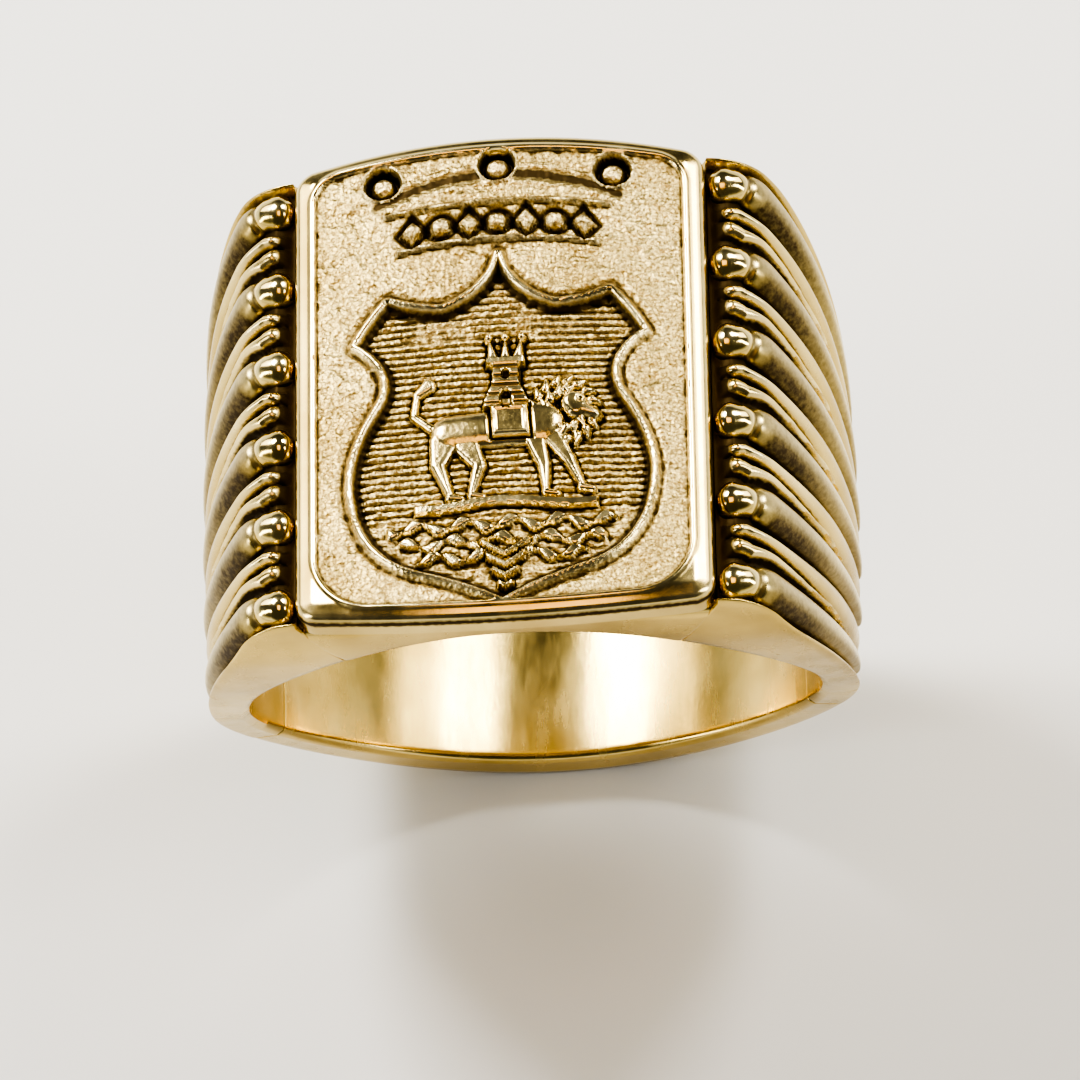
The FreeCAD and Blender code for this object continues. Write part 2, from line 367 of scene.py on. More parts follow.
def rib_relief(s, q, scale):
    """Height of the shoulder's surface against its crest, at length s and reed row q.

    From each reed towards the back come its channel, a rib that narrows as it runs down, a
    cut and a second rib that widens; then the channel of the next reed. scale is how close
    the rows have come.
    """
    pitch = REED_PITCH * scale
    row = (q - REED_ROWS[0]) / REED_PITCH
    ahead = np.clip(np.floor(row), 0, REEDS - 2)
    from_front = (row - ahead) * pitch
    u = s - BALL_S
    behind, before = channel_reach(u)
    width = np.maximum(pitch - behind - before, 0.15)
    across = (from_front - behind) / width
    split = np.clip(0.60 - 0.065 * (s - 0.8), 0.02, 1)
    cut = CUT_DEPTH * bump((across - split) * width, CUT_WIDTH)
    cut = cut * smooth(*CUT_START, s) * (1 - smooth(*CUT_END, s))
    rib = np.maximum(rib_pair(across, split), -RIB_LOWEST) - cut
    in_front, at_back = from_front < 0, from_front > pitch
    rib = np.where(in_front | at_back, -MARGIN_DEPTH, rib)
    to_channel = np.minimum(from_front - behind, pitch - from_front - before)
    to_channel = np.where(in_front, -from_front - before, to_channel)
    to_channel = np.where(at_back, from_front - pitch - behind, to_channel)
    # A channel grows shallow where its reed's tail is thin.
    floor = -CHANNEL_DEPTH * np.clip(tail_radius(u) / 0.85, 0.3, 1)
    height = floor + (rib - floor) * smooth(*CHANNEL_WALL, to_channel)
    # The ribs start with rounded noses, which leave a dark gutter along the plate.
    height = -GUTTER_DEPTH + (height + GUTTER_DEPTH) * smooth(*GUTTER_WIDTH, s)
    fade = 1 - smooth(crest_length(math.radians(90)), SHOULDER_LENGTH - 0.6, s)
    return height * fade


SIDE_T = np.linspace(0, 1, 14)[1:-1]    # shares of the way across a side face
RELIEF_START = (0.05, 0.35)     # the ribs fade in between these distances from an edge


def band_section(x, z, nx, nz, bore_angle, relief, end_round, outer_v, bore_v):
    """Points of a run of closed cross-sections of the band, outer surface first.

    (x, z) and (nx, nz) are the crest and its outward direction, bore_angle the angle from +Z
    at which each section meets the bore, relief the outer surface's height against the crest
    and end_round how far every surface is drawn in near the run's two ends. outer_v and
    bore_v place the points of the outer surface and the bore, from -1 in front to 1 behind.
    """
    count = len(x)
    draw = end_round[:, None]
    ex, ez = x - nx * EDGE_R, z - nz * EDGE_R
    bx, bz = np.sin(bore_angle), np.cos(bore_angle)
    rim = BORE_R + BORE_EDGE_R
    outer_y = side_y(ex, ez)
    bore_y = side_y(bx * rim, bz * rim)

    outer_v = outer_v * np.ones((count, 1))
    distance = (1 - np.abs(outer_v)) * outer_y[:, None]
    lift = relief * smooth(*RELIEF_START, distance) - fillet(distance, EDGE_R) - draw
    outer = np.stack([x[:, None] + nx[:, None] * lift,
                      outer_v * (outer_y[:, None] - draw),
                      z[:, None] + nz[:, None] * lift], -1)

    px = ex[:, None] + (bx * rim - ex)[:, None] * SIDE_T[None, :]
    pz = ez[:, None] + (bz * rim - ez)[:, None] * SIDE_T[None, :]
    py = side_y(px, pz) - draw
    front = np.stack([px, -py, pz], -1)
    back = np.stack([px, py, pz], -1)[:, ::-1]

    distance = (1 - np.abs(bore_v))[None, :] * bore_y[:, None]
    radius = BORE_R + fillet(distance, BORE_EDGE_R) + draw
    inner = np.stack([bx[:, None] * radius,
                      bore_v[None, :] * (bore_y[:, None] - draw),
                      bz[:, None] * radius], -1)
    return np.concatenate([outer[:, ::-1], front, inner, back], axis=1)


def tube_faces(rows, columns):
    """Faces of a closed tube of rings, with a cap at each end."""
    faces = grid_faces(rows, columns, closed=True)
    faces.append(list(range(columns)))
    faces.append(list(range((rows - 1) * columns, rows * columns))[::-1])
    return faces


def flipped(faces):
    return [face[::-1] for face in faces]


def band_piece(name, loop, outer_cavity, outer_ridge, material, mirror=False):
    """A closed piece of the band from its cross-sections, capped at both ends."""
    rows, columns = loop.shape[:2]
    outer = outer_cavity.shape[1]
    cavity = np.zeros((rows, columns))
    cavity[:, :outer] = outer_cavity[:, ::-1]
    ridge = np.zeros((rows, columns))
    ridge[:, :outer] = outer_ridge[:, ::-1]
    faces = tube_faces(rows, columns)
    points = loop.reshape(-1, 3).copy()
    if mirror:
        points[:, 0] *= -1
        faces = flipped(faces)
    return make_mesh(name, points, faces, material, cavity=cavity, ridge=ridge)


COLUMNS_FOLLOW = 0.92       # share of the half width over which columns follow the reeds


def shoulder_columns(x, z, nx, nz, v):
    """The y of a shoulder's columns along each section, and the section's half width.

    The columns follow the reeds, and only close to the side faces follow those instead.
    """
    width = side_y(x - nx * EDGE_R, z - nz * EDGE_R)[:, None]
    along = half_width(z)[:, None] * np.minimum(np.abs(v), COLUMNS_FOLLOW)[None, :]
    beyond = np.clip((np.abs(v) - COLUMNS_FOLLOW) / (1 - COLUMNS_FOLLOW), 0, 1)[None, :]
    y = np.sign(v)[None, :] * (along + (width - along) * beyond)
    return y, width


def shoulder(name, material, mirror):
    """A shoulder with ribs between the channels that its reeds lie in."""
    nose_end, ribs_end, seam_start = 1.6, 9, SHOULDER_LENGTH - 0.2
    s = np.concatenate([np.linspace(0, nose_end, 40)[:-1],
                        np.linspace(nose_end, ribs_end, 100)[:-1],
                        np.linspace(ribs_end, seam_start, 84)[:-1],
                        np.linspace(seam_start, SHOULDER_LENGTH, 6)])
    x, z, nx, nz = crest(s)
    # At the top the sections lean, to meet the bore where the head's seam does.
    lean = HEAD_SEAM - math.atan2(x[0], z[0])
    bore_angle = np.arctan2(x, z) + lean * (1 - smooth(0, 3, s))
    scale = spread(z)[:, None]
    y, width = shoulder_columns(x, z, nx, nz, eased_axis(341, 0.25))
    outer_v = y / width
    relief = rib_relief(s[:, None] + 0 * y, y / scale, scale)
    # Dark values for the hollows: patina in the grooves, and painted shade over all that lies deep,
    # the channels and the gutter along the plate.
    cavity = np.maximum(cavity_of(relief, 10, 0.13), smooth(0.12, 0.40, -relief))
    # Light values for the ridges: rubbed wear with a painted highlight.
    ridge = ridge_of(relief, 24, 0.16)
    away = smooth(0.0, 0.5, (1 - np.abs(outer_v)) * width)
    relief = relief - crowning(s)[:, None] * outer_v ** 2
    ends = fillet(np.minimum(s, SHOULDER_LENGTH - s), SEAM_R)
    loop = band_section(x, z, nx, nz, bore_angle, relief, ends, outer_v, eased_axis(31, 0.6))
    return band_piece(name, loop, cavity * away, ridge * away, material, mirror)


def shank(name, material):
    """The plain lower part of the band."""
    low, high = SHANK_SEAM, 2 * math.pi - SHANK_SEAM
    ends = np.array([0, 0.15, 0.35, 0.6, 1.0]) * SEAM_R / OUTER_R
    angle = np.concatenate([low + ends, np.linspace(low, high, 150)[1:-1], high - ends[::-1]])
    angle = np.unique(np.round(angle, 6))
    nx, nz = np.sin(angle), np.cos(angle)
    outer_v = eased_axis(41, 0.6)
    relief = np.repeat(-SHANK_CROWN * outer_v[None, :] ** 2, len(angle), axis=0)
    to_end = np.minimum(angle - angle[0], angle[-1] - angle) * OUTER_R
    loop = band_section(nx * OUTER_R, nz * OUTER_R, nx, nz, angle, relief,
                        fillet(to_end, SEAM_R), outer_v, eased_axis(41, 0.6))
    return band_piece(name, loop, 0 * relief, 0 * relief, material)


def head(name, material):
    """The block under the plate, between its two seams."""
    inset = np.array([0, 0.002, 0.005])
    angle = np.concatenate([inset - HEAD_SEAM, np.linspace(-HEAD_SEAM, HEAD_SEAM, 90)[1:-1],
                            HEAD_SEAM - inset[::-1]])
    nx, nz = np.sin(angle), np.cos(angle)
    reach = np.full(len(angle), PLATE_TOP)
    for _ in range(6):      # where each ray meets the plate's underside
        reach = dome_height(nx * reach, PLATE_T) / nz
    outer_v = eased_axis(61, 0.6)
    plain = np.zeros((len(angle), len(outer_v)))
    to_end = (HEAD_SEAM - np.abs(angle)) * BORE_R
    loop = band_section(nx * reach, nz * reach, nx, nz, angle, plain,
                        fillet(to_end, SEAM_R), outer_v, eased_axis(61, 0.6))
    return band_piece(name, loop, plain, plain, material)


def reed_radius(u):
    """Radius of a reed at length u from its ball's centre: ball, worn neck, tail and tip."""
    sphere = np.sqrt(np.clip(WORN_BALL_R ** 2 - u ** 2, 0, None))
    tail = np.where(u > 0.2, tail_radius(u), 0) * (1 - PINCH * bump(u - PINCH_AT, 0.15))
    radius = np.maximum(sphere, tail)
    tip = REED_LENGTH - u
    return radius * np.sqrt(np.clip(1 - np.clip(1 - tip / TIP_ROUND, 0, 1) ** 2, 0, 1))


def reed_axis(row, u):
    """Points of a reed's axis, with the directions across it and out of the shoulder."""
    s = BALL_S + u
    x, z, nx, nz = crest(s)
    y = row * spread(z)
    fall = crowning(s) * (y / side_y(x, z)) ** 2
    depth = np.maximum(tail_radius(u), BALL_R * (1 - np.clip(u / REED_LENGTH, 0, 1) / SWELL))
    depth = np.where(u < 0, BALL_R, depth)
    lift = REED_PROUD - depth - fall
    axis = np.stack([x + nx * lift, y, z + nz * lift], -1)
    ahead = np.gradient(axis, axis=0)
    ahead /= np.linalg.norm(ahead, axis=1)[:, None]
    across = np.cross(ahead, np.stack([nx, 0 * nx, nz], -1))
    across /= np.linalg.norm(across, axis=1)[:, None]
    return axis, across, np.cross(across, ahead)


def reed_painted_shade(u, turn, below):
    """Painted shade on a reed: deep in its channel, round its neck and over its tail.

    below is how far a point lies under the reed's top line. The tails are painted an olive
    shade that stands for dark reflections, most of all on their sides towards the front.
    """
    # Painted shade under the reed's top line, in the neck's crease and over the tail.
    sunk = smooth(0.14, 0.55, below)
    neck = 0.8 * bump(u - 0.70, 0.20)[:, None]
    # The painted shade is deeper on the tail's side towards the front.
    front = np.cos(turn)[None, :] * smooth(1.0, 1.8, u)[:, None]
    tail = (0.60 - 0.26 * smooth(3.0, 9.0, u))[:, None] + 0.30 * smooth(-0.2, 0.7, front)
    tail = tail * smooth(0.6, 1.0, u)[:, None]
    return np.clip(np.maximum(np.maximum(sunk, neck), tail), 0, 1)


def reed(name, row, material, mirror):
    """A ball-headed reed: a ball, a neck and a tail that tapers round the shoulder."""
    fine_end = 2.2
    u = np.concatenate([-WORN_BALL_R * np.cos(np.linspace(0, math.pi / 2, 16)),
                        np.linspace(0, fine_end, 44)[1:],
                        np.linspace(fine_end, REED_LENGTH, 76)[1:]])
    turn = np.linspace(0, 2 * math.pi, 41)[:-1]
    radius = reed_radius(u)
    axis, across, up = reed_axis(row, u)
    ring = (np.cos(turn)[None, :, None] * across[:, None, :]
            + np.sin(turn)[None, :, None] * up[:, None, :])
    points = (axis[:, None, :] + ring * np.maximum(radius, 1e-4)[:, None, None]).reshape(-1, 3)
    faces = tube_faces(len(u), len(turn))
    if mirror:
        points[:, 0] *= -1
    else:
        faces = flipped(faces)
    below = (1 - np.sin(turn))[None, :] * radius[:, None]
    # A reed's cavity values are painted shade, and its ridge values a painted highlight along its
    # top line.
    return make_mesh(name, points, faces, material,
                     cavity=reed_painted_shade(u, turn, below), ridge=smooth(0.10, 0.0, below))


# ---------------------------------------------------------------- the plate's relief

def plate_half_length(x):
    """Half length of the plate at x, with bowed ends and rounded corners."""
    bow = PLATE_HALF_Y + PLATE_BOW * (1 - (x / PLATE_HALF_X) ** 2)
    into = np.clip(np.abs(x) - (PLATE_HALF_X - PLATE_CORNER_R), 0, PLATE_CORNER_R)
    return bow - (PLATE_CORNER_R - np.sqrt(PLATE_CORNER_R ** 2 - into ** 2))


def inside_plate(x, y, side, end, front_r, back_r):
    """Distance inside a rounded outline that is set in from the plate's edges."""
    corner = np.where(y < 0, front_r, back_r)
    bow = PLATE_HALF_Y + PLATE_BOW * (1 - np.clip(x / PLATE_HALF_X, -1, 1) ** 2)
    flat_y = y * PLATE_HALF_Y / bow
    qx = np.abs(x) - (PLATE_HALF_X - side) + corner
    qy = np.abs(flat_y) - (PLATE_HALF_Y - end) + corner
    outside = np.hypot(np.maximum(qx, 0), np.maximum(qy, 0))
    return corner - outside - np.minimum(np.maximum(qx, qy), 0)


def curve_points(a, b, c, count=14):
    """Points from a towards c on a smooth curve whose middle is b."""
    a, b, c = (np.array(p, float) for p in (a, b, c))
    pull = 2 * b - (a + c) / 2
    t = np.linspace(0, 1, count + 1)[:-1, None]
    return a * (1 - t) ** 2 + pull * 2 * t * (1 - t) + c * t ** 2


def shield_outline():
    """The shield: peaked top with hollow shoulders, ears, waist, belly and pointed foot."""
    runs = [
        ((0, 4.75), (0.62, 3.5), (1.9, 2.7)),
        ((1.9, 2.7), (2.9, 2.85), (3.8, 3.2)),
        ((3.8, 3.2), (4.4, 2.45), (4.93, 1.6)),
        ((4.93, 1.6), (3.95, 0.35), (4.15, -1.0)),
        ((4.15, -1.0), (4.95, -2.7), (5.1, -4.3)),
        ((5.1, -4.3), (4.45, -6.3), (3.0, -7.5)),
        ((3.0, -7.5), (1.35, -8.15), (0, -8.85)),
    ]
    half = np.concatenate([curve_points(*run) for run in runs] + [[(0, -8.85)]])
    return np.concatenate([half, half[-2:0:-1] * [-1, 1]])


def distance_to_outline(x, y, outline):
    """Distance to a closed outline, negative inside it."""
    best = np.full(x.shape, 1e9)
    inside = np.zeros(x.shape, bool)
    for (ax, ay), (bx, by) in zip(outline, np.roll(outline, -1, axis=0)):
        ex, ey = bx - ax, by - ay
        t = np.clip(((x - ax) * ex + (y - ay) * ey) / (ex * ex + ey * ey + 1e-12), 0, 1)
        best = np.minimum(best, (x - ax - t * ex) ** 2 + (y - ay - t * ey) ** 2)
        crosses = (ay > y) != (by > y)
        at = ax + (y - ay) * ex / (ey if ey else 1e-12)
        inside ^= crosses & (x < at)
    return np.where(inside, -1, 1) * np.sqrt(best)


def limb(x, y, a, b, ra, rb):
    """Distance to a tapered limb from a to b, negative inside it."""
    ex, ey = b[0] - a[0], b[1] - a[1]
    t = np.clip(((x - a[0]) * ex + (y - a[1]) * ey) / (ex * ex + ey * ey + 1e-9), 0, 1)
    return np.hypot(x - a[0] - t * ex, y - a[1] - t * ey) - (ra + (rb - ra) * t)


def block(x, y, middle, half):
    """Distance to an upright rectangle, negative inside it."""
    return np.maximum(np.abs(x - middle[0]) - half[0], np.abs(y - middle[1]) - half[1])


def covered(distance, soft):
    """1 where distance is below zero and 0 elsewhere, with an edge soft on both sides."""
    return smooth(soft, -soft, distance)


def raised(distance, width, height):
    """A rounded form of that height over the places where distance is below zero."""
    rise = np.clip(-distance / width, 0, 1)
    return height * np.sqrt(1 - (1 - rise) ** 2)


def lion(x, y):
    """Height of a generic walking lion with a curling mane."""
    legs = [
        ((-1.95, -2.5), (-2.15, -3.35), 0.52, 0.30), ((-2.15, -3.35), (-1.75, -4.55), 0.28, 0.17),
        ((-1.75, -4.68), (-1.35, -4.76), 0.19, 0.15),
        ((-1.15, -2.7), (-0.75, -3.45), 0.46, 0.27), ((-0.75, -3.45), (-1.0, -4.5), 0.25, 0.17),
        ((-1.0, -4.64), (-0.6, -4.74), 0.19, 0.15),
        ((1.15, -2.5), (1.45, -3.6), 0.40, 0.25), ((1.45, -3.6), (1.5, -4.55), 0.24, 0.16),
        ((1.5, -4.66), (1.9, -4.74), 0.18, 0.15),
        ((1.7, -2.4), (2.3, -3.4), 0.38, 0.25), ((2.3, -3.4), (2.7, -4.35), 0.24, 0.16),
        ((2.7, -4.5), (3.1, -4.58), 0.18, 0.14),
    ]
    trunk = [
        ((-1.75, -2.15), (0.2, -2.05), 0.68, 0.72), ((0.2, -2.05), (1.35, -1.95), 0.72, 0.85),
    ]
    tail = [
        ((-2.35, -1.9), (-2.95, -1.35), 0.17, 0.15), ((-2.95, -1.35), (-2.85, -0.6), 0.15, 0.14),
        ((-2.85, -0.55), (-2.45, -0.2), 0.16, 0.27),
    ]
    face = [
        ((2.5, -1.25), (2.6, -1.45), 0.48, 0.46), ((2.75, -1.5), (3.2, -1.72), 0.32, 0.24),
        ((2.2, -0.72), (2.28, -0.5), 0.18, 0.14),
    ]
    mane = []
    for ring, count, reach in ((0.62, 13, 0.34), (1.0, 17, 0.3)):
        for turn in np.linspace(0, 2 * math.pi, count + 1)[:-1]:
            root = (2.15 + ring * math.cos(turn), -1.5 + 1.1 * ring * math.sin(turn))
            tip = (root[0] + reach * math.cos(turn - 0.7), root[1] + reach * math.sin(turn - 0.7))
            mane.append(((root, tip, 0.20, 0.09), 0.36 - 0.12 * ring))
    height = np.zeros(x.shape)
    for runs, width, top in ((legs, 0.2, 0.24), (trunk, 0.55, 0.32), (tail, 0.15, 0.2)):
        for run in runs:
            height = np.maximum(height, raised(limb(x, y, *run), width, top))
    for lock, top in mane:
        height = np.maximum(height, raised(limb(x, y, *lock), 0.18, top))
    for run in face:
        height = np.maximum(height, raised(limb(x, y, *run), 0.3, 0.42))
    eye = np.hypot(x - 2.72, y + 1.2)
    return height - 0.16 * bump(eye, 0.09)


def saddle_cloth(x, y, height):
    """The lion with a cloth over its trunk, which has a raised hem and a cut round it."""
    cloth = np.maximum(np.abs(x - 0.22 + 0.06 * y) - 0.62, np.abs(y + 1.88) - 0.58)
    on_cloth = smooth(0.05, -0.03, cloth)
    height = height * (1 - on_cloth) + (0.34 + 0.06 * bump(cloth + 0.09, 0.05)) * on_cloth
    return height - 0.2 * bump(cloth - 0.06, 0.06) * (1 - on_cloth) * smooth(0.0, 0.1, height)


def tower(x, y, height):
    """The lion and its cloth with a tower on top: courses, a door, a window and a crown."""
    half = 0.46 + 0.32 * smooth(-0.2, -1.3, y)      # the foot spreads out
    on_wall = covered(block(x, y, (TOWER_X, -0.45), (half, 0.85)), 0.04)
    courses = 0.09 * bump(((y + 5) % 0.36) - 0.18, 0.05)
    height = height * (1 - on_wall) + (0.36 - courses) * on_wall
    door = limb(x, y, (TOWER_X, -1.2), (TOWER_X, -0.85), 0.2, 0.18)
    window = limb(x, y, (TOWER_X, -0.15), (TOWER_X, 0.0), 0.12, 0.12)
    height = height - 0.24 * smooth(0.03, -0.05, np.minimum(door, window))
    ledge = block(x, y, (TOWER_X, 0.46), (0.66, 0.13))
    height = np.maximum(height, 0.38 * covered(ledge, 0.03))
    for k in (-1, 0, 1):
        root, tip = (TOWER_X + 0.42 * k, 0.6), (TOWER_X + 0.54 * k, 1.25)
        point = limb(x, y, root, tip, 0.21, 0.07)
        pearl = np.hypot(x - TOWER_X - 0.56 * k, y - 1.42) - 0.17
        height = np.maximum(height, raised(np.minimum(point, pearl), 0.14, 0.36))
    return height


def beast(x, y):
    """The charge: a lion that carries a tower on a saddle cloth."""
    return tower(x, y, saddle_cloth(x, y, lion(x, y)))


def ground(x, y):
    """The earth that the beast walks on, with leaves and chevrons under it.

    Gives their height, and a number that rises from 0 to 1 under the earth.
    """
    line = EARTH_Y + 0.10 * np.cos(x * 1.3)
    height = 0.26 * covered(block(x, y, (EARTH_X, line), (3.1, 0.16)), 0.05)
    under = smooth(0.0, -0.15, y - line + 0.2)
    for k, (level, reach) in enumerate(((-5.75, 3.9), (-6.4, 3.5), (-7.0, 2.9))):
        wave = y - level - 0.16 * np.sin(x * 3.9 + k * 1.9)
        half = 0.13 * (1 + 0.6 * np.sin(x * 7.8 + k))
        leaf = np.maximum(np.abs(wave) - half, np.abs(x) - reach)
        height = np.maximum(height, 0.2 * covered(leaf, 0.07))
    for k in range(4):
        fold = y + 7.0 + 0.42 * k - 0.62 * np.abs(x - 0.1)
        chevron = np.maximum(np.abs(fold) - 0.11, np.abs(x - 0.1) - 0.85 + 0.2 * k)
        cut = smooth(0.12, 0.0, chevron)
        height = height * (1 - cut) + 0.28 * covered(chevron, 0.05) * cut
    return height, under


def arched_rim(x, y):
    """The coronet's rim, two fine beads with a groove between them: height and groove."""
    arch = y - RIM_Y + 0.055 * x * x
    ends = smooth(4.45, 4.15, np.abs(x))
    groove = bump(arch, 0.23) * ends
    height = 0.12 * bump(arch - 0.29, 0.12) * ends - 0.45 * groove
    height += 0.10 * bump(arch + 0.29, 0.12) * ends
    return height, groove


def jewelled_band(x, y, height, groove):
    """Adds a sunken band between two fine rims, with lozenges and round jewels in turn."""
    top, bottom = 6.85 - 0.02 * x * x, 5.36 - 0.027 * x * x
    reach = 3.5 + 0.3 * (y - 5.2)
    body = np.maximum(np.maximum(y - top, bottom - y), np.abs(x) - reach)
    height = height - 0.20 * covered(body, 0.06)
    for edge in (np.abs(y - top) - 0.1, np.abs(y - bottom) - 0.11):
        rim = np.maximum(edge, np.abs(x) - reach - 0.05)
        height = np.maximum(height, raised(rim, 0.12, 0.2))
    middle = (top + bottom) / 2
    for k in range(-3, 4):
        from_jewel = x - JEWEL_PITCH * k
        if k % 2:
            jewel = (np.abs(from_jewel) / 0.42 + np.abs(y - middle) / 0.5 - 1) * 0.32
        else:
            jewel = np.hypot(from_jewel * 0.9, y - middle) - 0.36
        height = np.where(jewel < 0, raised(jewel, 0.26, 0.40) - 0.22, height)
        gap = bump(jewel - 0.09, 0.10)
        height -= 0.22 * gap
        groove = np.maximum(groove, 0.9 * gap)
    return height, groove


def pearls(x, y, height, groove):
    """Adds three pearls in round wells with a fine raised edge."""
    for px, py in ((-PEARL_X, PEARL_Y), (0, PEARL_MID_Y), (PEARL_X, PEARL_Y)):
        r = np.hypot(x - px, y - py)
        height = np.where(r < 0.72, height * smooth(0.6, 0.72, r), height)
        height = height + 0.08 * bump(r - 0.70, 0.07) - 0.5 * smooth(0.66, 0.52, r)
        height = np.where(r < 0.44, height + raised(r - 0.44, 0.40, 0.42), height)
        groove = np.where(r < 0.75, bump(r - 0.52, 0.12), groove)
    return height, groove


def crown(x, y):
    """The coronet over the shield: its height, and its grooves, which hold stain and painted shade.
    """
    return pearls(x, y, *jewelled_band(x, y, *arched_rim(x, y)))


def border_and_field(x, y, sunk, field):
    """Height of the border, with its worn edge and raised lip, and of the stippled field."""
    edge = inside_plate(x, y, 0, 0, PLATE_CORNER_R, PLATE_CORNER_R)
    border = -fillet(edge, 0.24) - 0.05 - 0.15 * (1 - np.clip(edge / 0.6, 0, 1))
    grain = (0.5 * value_noise(x, y, cell=0.15, seed=1)
             + 0.5 * value_noise(x, y, cell=0.3, seed=2))
    dents = 0.045 * smooth(0.2, 0.7, value_noise(x, y, cell=0.42, seed=3))
    stipple = 0.035 * grain - dents
    height = border * (1 - sunk) + (-FIELD_DEPTH + stipple) * sunk
    return height + 0.06 * bump(field + 0.08, 0.08)


def shield_floor(x, y):
    """The shield's hatched floor with its charge: height, places clear of hatching, and moat.

    The moat is the cut that follows the figures' outlines.
    """
    sway = value_noise(x, y, cell=1.4, seed=5) * 0.03
    hatch = np.abs(((y + sway) / HATCH_PITCH) % 1 - 0.5) * 2
    earth, under = ground(x, y)
    relief = np.maximum(beast(x, y), earth)
    clear = smooth(0.02, 0.06, relief)
    cut = HATCH_DEPTH * smooth(0.45, 1.0, hatch) * (1 - clear) * (1 - 0.5 * under)
    rough = 0.03 * value_noise(x, y, cell=0.12, seed=7)
    lower = smooth(-2.4, -3.4, y)
    scroll = (0.05 * value_noise(x, y, cell=0.26, seed=9) * lower
              + 0.04 * value_noise(x, y, cell=0.4, seed=10) * under)
    moat = np.clip((blurred(relief, 10) - relief) / 0.14, 0, 1) * (1 - clear)
    height = -SHIELD_DEPTH - cut + (rough + scroll) * (1 - clear) + relief - 0.16 * moat
    return height, clear, moat


def plate_relief(x, y):
    """The plate's top: height against its dome, how far it is stippled, and lines of stain and
    painted shade.
    """
    field = inside_plate(x, y, BORDER_SIDE, BORDER_END, FIELD_FRONT_R, FIELD_BACK_R)
    sunk = smooth(0.0, 0.10, field)
    coronet, groove = crown(x, y)
    height = border_and_field(x, y, sunk, field) + coronet * sunk

    shield = distance_to_outline(x, y, shield_outline())
    within = smooth(0.0, -0.26, shield)
    floor, clear, moat = shield_floor(x, y)
    height = height * (1 - within) + floor * within
    lip = bump(shield - 0.05, 0.12)
    height = height + (-0.03 - height) * lip * sunk * 0.95
    height = height - 0.10 * bump(shield - 0.31, 0.09) * sunk

    # Lines of stain in the cuts and painted shade of their walls: the crown's grooves, a band just
    # inside the shield's outline and the moat round the figures.
    stain_and_shade = np.maximum(groove * (1 - within), 0.95 * bump(shield + 0.22, 0.15))
    stain_and_shade = np.maximum(stain_and_shade, 0.9 * moat * within) * sunk
    textured = sunk * (1 - lip) * (1 - 0.85 * within * clear) * (1 - smooth(0.2, 0.7, stain_and_shade))
    return np.minimum(height, 0.0), textured, stain_and_shade


FINE_X = (-3.3, 3.2)        # the grid is fine over the charge: limits of x
FINE_V = (-0.60, 0.16)      # and of y as a share of the half length
UNDERSIDE_INSET = 0.06
SIDE_LEVELS = (0.35, 0.7, 0.93, 1.0)    # shares of the way from the top to the underside


def plate_grid():
    """The x and y of the points of the plate's top, closer together over the charge."""
    x_axis = dense_axis(-PLATE_HALF_X, PLATE_HALF_X, *FINE_X, 0.041, 0.064)
    eased = PLATE_HALF_X * np.sin(np.clip(x_axis / PLATE_HALF_X, -1, 1) * math.pi / 2)
    x_axis = eased * 0.12 + x_axis * 0.88
    v_axis = dense_axis(-1, 1, *FINE_V, 0.0046, 0.0072)
    x = np.repeat(x_axis[:, None], len(v_axis), axis=1)
    return x, plate_half_length(x_axis)[:, None] * v_axis[None, :]


def side_wall(top, rim):
    """Rings of points down the plate's sides, their faces and the last ring's indices."""
    flat = top.reshape(-1, 3)[rim]
    low = dome_height(flat[:, 0], PLATE_T)
    rings, faces = [], []
    above = rim
    for k, level in enumerate(SIDE_LEVELS):
        ring = flat.copy()
        ring[:, 2] = flat[:, 2] + (low - flat[:, 2]) * level
        if level == 1.0:
            ring[:, 0] *= (PLATE_HALF_X - UNDERSIDE_INSET) / PLATE_HALF_X
            ring[:, 1] *= (PLATE_END - UNDERSIDE_INSET) / PLATE_END
        rings.append(ring)
        here = top.shape[0] * top.shape[1] + k * len(rim) + np.arange(len(rim))
        quads = np.stack([above, here, np.roll(here, -1), np.roll(above, -1)], -1)
        faces += quads.tolist()
        above = here
    return rings, faces, above


def underside(edge, rows, columns):
    """Faces of the underside: it is ruled along the finger, so each row needs one strip."""
    front = edge[:rows]
    back = edge[rows + columns - 2:2 * rows + columns - 2][::-1]
    strips = np.stack([front[1:-2], back[1:-2], back[2:-1], front[2:-1]], -1).tolist()
    right_end = edge[rows - 1:rows + columns - 1]
    left_end = np.concatenate([edge[2 * rows + columns - 3:], edge[:1]])
    return strips + [[int(front[-2]), int(back[-2])] + right_end[::-1].tolist(),
                     [int(back[1]), int(front[1])] + left_end[::-1].tolist()]


def signet_plate(name, material):
    """The domed plate: its relief as a height over a grid, its sides and its underside."""
    x, y = plate_grid()
    relief, textured, stain_and_shade = plate_relief(x, y)
    top = np.stack([x, y, dome_height(x, 0) + relief], -1)
    rows, columns = x.shape
    index = np.arange(rows * columns).reshape(rows, columns)
    rim = np.concatenate([index[:, 0], index[-1, 1:], index[-2::-1, -1], index[0, -2:0:-1]])
    rings, side_faces, edge = side_wall(top, rim)
    faces = flipped(grid_faces(rows, columns, closed=False))
    faces += side_faces + underside(edge, rows, columns)

    # Dark values in the hollows are patina with painted shade; the ridge values lighten raised
    # parts as rubbed wear with a painted highlight.
    cavity = np.maximum(cavity_of(relief, 6, 0.05) * 0.8, cavity_of(relief, 24, 0.12))
    fields = {"cavity": np.maximum(cavity, stain_and_shade), "textured": textured,
              "ridge": ridge_of(relief, 16, 0.08)}
    plain = np.zeros(len(rim) * len(SIDE_LEVELS))
    fields = {key: np.concatenate([value.ravel(), plain]) for key, value in fields.items()}
    points = np.concatenate([top.reshape(-1, 3), *rings])
    return make_mesh(name, points, faces, material, **fields)


# ---------------------------------------------------------------- materials

